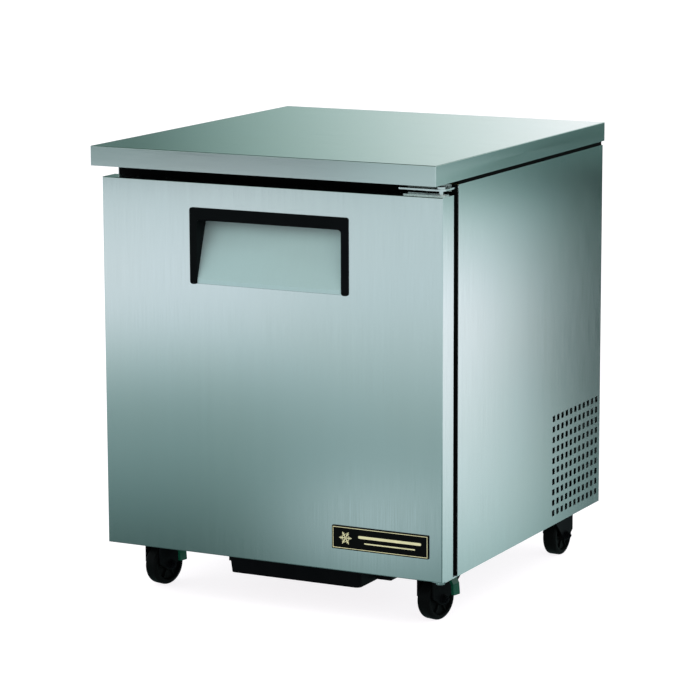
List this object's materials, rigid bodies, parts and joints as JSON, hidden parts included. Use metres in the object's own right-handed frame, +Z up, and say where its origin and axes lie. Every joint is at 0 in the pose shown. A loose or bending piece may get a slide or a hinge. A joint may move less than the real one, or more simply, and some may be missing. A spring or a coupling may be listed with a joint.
{
  "type": "undercounter refrigerator",
  "caption": "Stainless undercounter refrigerator with one right-hinged door, recessed black handle, side vents and swivel casters.",
  "frame": {"origin": "on the floor under the middle of the object's box, which runs from the worktop's front edge to the rear bumpers", "axes": "+X to the user's right, +Y to the back, +Z up; the door faces -Y"},
  "size_m": [0.702, 0.791, 0.856],
  "materials": {
    "stainless": "brushed",
    "galvanised": "galvanised",
    "bright_steel": "polished",
    "core_board": "black edge",
    "breaker_plastic": "satin black",
    "foam": "closed-cell foam",
    "liner_aluminium": "clear coated",
    "coil_aluminium": "mill",
    "black_plastic": "satin",
    "handle_plastic": "satin",
    "white_plastic": "gloss",
    "fan_plastic": "satin",
    "rubber": "matt",
    "wheel_rubber": "satin",
    "gasket": "matt",
    "black_paint": "satin black",
    "compressor_paint": "gloss black",
    "caster_black": "black",
    "motor_paint": "grey",
    "fan_metal": "mill",
    "shelf_coating": "light grey coating",
    "copper": "copper",
    "zinc": "zinc plated",
    "badge": "gloss black with gilt rim",
    "pedal_green": "gloss dark green"
  },
  "bodies": {
    "cabinet": {"worktop": "stainless", "worktop_core": "core_board", "side_panel_left": "stainless", "side_panel_right": "stainless", "front_frame": "breaker_plastic", "back_panel": "galvanised", "base_pan": "galvanised", "cabinet_foam": "foam", "liner": "liner_aluminium", "rear_grille": "galvanised", "cord_gland": "black_plastic", "rear_bumpers": "rubber", "drain_tube": "white_plastic", "drain_pan": "black_paint", "pan_brackets": "black_paint", "shelf_standards": "bright_steel", "shelf_clips": "bright_steel", "shelf_lower": "shelf_coating", "shelf_upper": "shelf_coating", "evaporator_cover": "liner_aluminium", "evaporator_coil": "coil_aluminium", "evaporator_fan_motor": "motor_paint", "evaporator_fan_guard": "bright_steel", "thermostat_body": "white_plastic", "unit_base_plate": "galvanised", "compressor": "compressor_paint", "compressor_grommets": "rubber", "terminal_cover": "black_plastic", "condenser_coil": "black_paint", "condenser_fan_shroud": "galvanised", "condenser_fan_motor": "motor_paint", "filter_drier": "copper", "refrigerant_tubes": "copper", "top_hinge_bracket": "zinc", "bottom_hinge_bracket": "zinc", "hinge_pins": "zinc", "caster_mounts": "zinc", "cabinet_screws": "zinc"},
    "door": {"door_skin": "stainless", "door_foam": "foam", "door_liner": "liner_aluminium", "door_gasket": "gasket", "handle_frame": "handle_plastic", "handle_scoop": "stainless", "badge_plate": "badge", "door_hinge_plate": "zinc", "hinge_bushes": "white_plastic"},
    "evaporator_fan": {"evaporator_fan_blade": "fan_plastic"},
    "condenser_fan": {"condenser_fan_blade": "fan_metal"},
    "thermostat_dial": {"thermostat_knob": "black_plastic"},
    "caster_front_right": {"caster_fork_front_right": "caster_black"},
    "wheel_front_right": {"caster_wheel_front_right": "wheel_rubber"},
    "pedal_front_right": {"brake_pedal_front_right": "pedal_green"},
    "caster_front_left": {"caster_fork_front_left": "caster_black"},
    "wheel_front_left": {"caster_wheel_front_left": "wheel_rubber"},
    "pedal_front_left": {"brake_pedal_front_left": "pedal_green"},
    "caster_rear_right": {"caster_fork_rear_right": "caster_black"},
    "wheel_rear_right": {"caster_wheel_rear_right": "wheel_rubber"},
    "caster_rear_left": {"caster_fork_rear_left": "caster_black"},
    "wheel_rear_left": {"caster_wheel_rear_left": "wheel_rubber"}
  },
  "joints": [
    {"name": "door_hinge", "type": "hinge", "parent": "cabinet", "child": "door", "pos_m": [0.334, -0.3375, 0.45], "axis": [0, 0, 1], "range_deg": [0, 120]},
    {"name": "evaporator_fan_spin", "type": "hinge", "parent": "cabinet", "child": "evaporator_fan", "pos_m": [-0.11, 0.172, 0.625], "axis": [0, -1, 0], "continuous": true},
    {"name": "condenser_fan_spin", "type": "hinge", "parent": "cabinet", "child": "condenser_fan", "pos_m": [0.244, 0.245, 0.211], "axis": [1, 0, 0], "continuous": true},
    {"name": "thermostat_turn", "type": "hinge", "parent": "cabinet", "child": "thermostat_dial", "pos_m": [0.19, 0.14, 0.56], "axis": [0, -1, 0], "range_deg": [0, 270]},
    {"name": "swivel_front_right", "type": "hinge", "parent": "cabinet", "child": "caster_front_right", "pos_m": [0.288, -0.2155, 0.088], "axis": [0, 0, 1], "continuous": true},
    {"name": "roll_front_right", "type": "hinge", "parent": "caster_front_right", "child": "wheel_front_right", "pos_m": [0.28103, -0.24571, 0.04], "axis": [0.9744, -0.225, 0], "continuous": true},
    {"name": "brake_front_right", "type": "hinge", "parent": "caster_front_right", "child": "pedal_front_right", "pos_m": [0.30782, -0.23855, 0.078], "axis": [0.225, 0.9744, 0], "range_deg": [0, 12], "stiffness_Nm_per_rad": 0.4},
    {"name": "swivel_front_left", "type": "hinge", "parent": "cabinet", "child": "caster_front_left", "pos_m": [-0.288, -0.2155, 0.088], "axis": [0, 0, 1], "continuous": true},
    {"name": "roll_front_left", "type": "hinge", "parent": "caster_front_left", "child": "wheel_front_left", "pos_m": [-0.29497, -0.24571, 0.04], "axis": [0.9744, -0.225, 0], "continuous": true},
    {"name": "brake_front_left", "type": "hinge", "parent": "caster_front_left", "child": "pedal_front_left", "pos_m": [-0.26818, -0.23855, 0.078], "axis": [0.225, 0.9744, 0], "range_deg": [0, 12], "stiffness_Nm_per_rad": 0.4},
    {"name": "swivel_rear_right", "type": "hinge", "parent": "cabinet", "child": "caster_rear_right", "pos_m": [0.288, 0.266, 0.088], "axis": [0, 0, 1], "continuous": true},
    {"name": "roll_rear_right", "type": "hinge", "parent": "caster_rear_right", "child": "wheel_rear_right", "pos_m": [0.28908, 0.29698, 0.04], "axis": [-0.9994, 0.0349, 0], "continuous": true},
    {"name": "swivel_rear_left", "type": "hinge", "parent": "cabinet", "child": "caster_rear_left", "pos_m": [-0.288, 0.266, 0.088], "axis": [0, 0, 1], "continuous": true},
    {"name": "roll_rear_left", "type": "hinge", "parent": "caster_rear_left", "child": "wheel_rear_left", "pos_m": [-0.28584, 0.29692, 0.04], "axis": [-0.9976, 0.0698, 0], "continuous": true}
  ]
}
